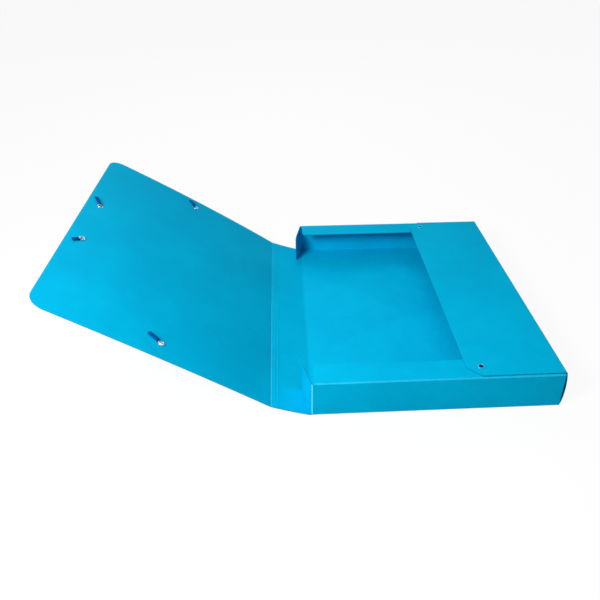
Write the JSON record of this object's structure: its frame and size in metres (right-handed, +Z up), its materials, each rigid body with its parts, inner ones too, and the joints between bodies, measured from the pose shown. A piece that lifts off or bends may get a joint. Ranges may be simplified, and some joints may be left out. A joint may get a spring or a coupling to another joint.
{
  "type": "elastic box file for archive storage",
  "caption": "Open A4 pressboard box file folded from one sheet, with a hinged spine and front cover, metal eyelets and corner elastics.",
  "frame": {"origin": "centre of the underside of the back panel", "axes": "+Z up out of the box, +X from the spine crease to the fore edge wall, +Y from the near wall to the far wall"},
  "size_m": [0.4975, 0.33, 0.1441],
  "materials": {
    "pressboard": "glazed, faintly mottled",
    "nickel": "bright nickel plate",
    "elastic": "woven"
  },
  "bodies": {
    "box": {"box_body": "pressboard", "flap_eyelet_near": "nickel", "flap_eyelet_far": "nickel"},
    "spine": {"spine_panel": "pressboard"},
    "cover": {"front_cover": "pressboard", "cover_eyelet_near_side": "nickel", "cover_eyelet_near_fore": "nickel", "cover_eyelet_far_side": "nickel", "cover_eyelet_far_fore": "nickel", "corner_elastic_near": "elastic", "corner_elastic_far": "elastic"}
  },
  "joints": [
    {"name": "spine_fold", "type": "hinge", "parent": "box", "child": "spine", "pos_m": [-0.125, 0, 0.0009], "axis": [0, 1, 0], "range_deg": [-18, 72]},
    {"name": "cover_fold", "type": "hinge", "parent": "spine", "child": "cover", "pos_m": [-0.16494, 0, 0.01388], "axis": [0, 1, 0], "range_deg": [-13.4, 74.2]}
  ]
}
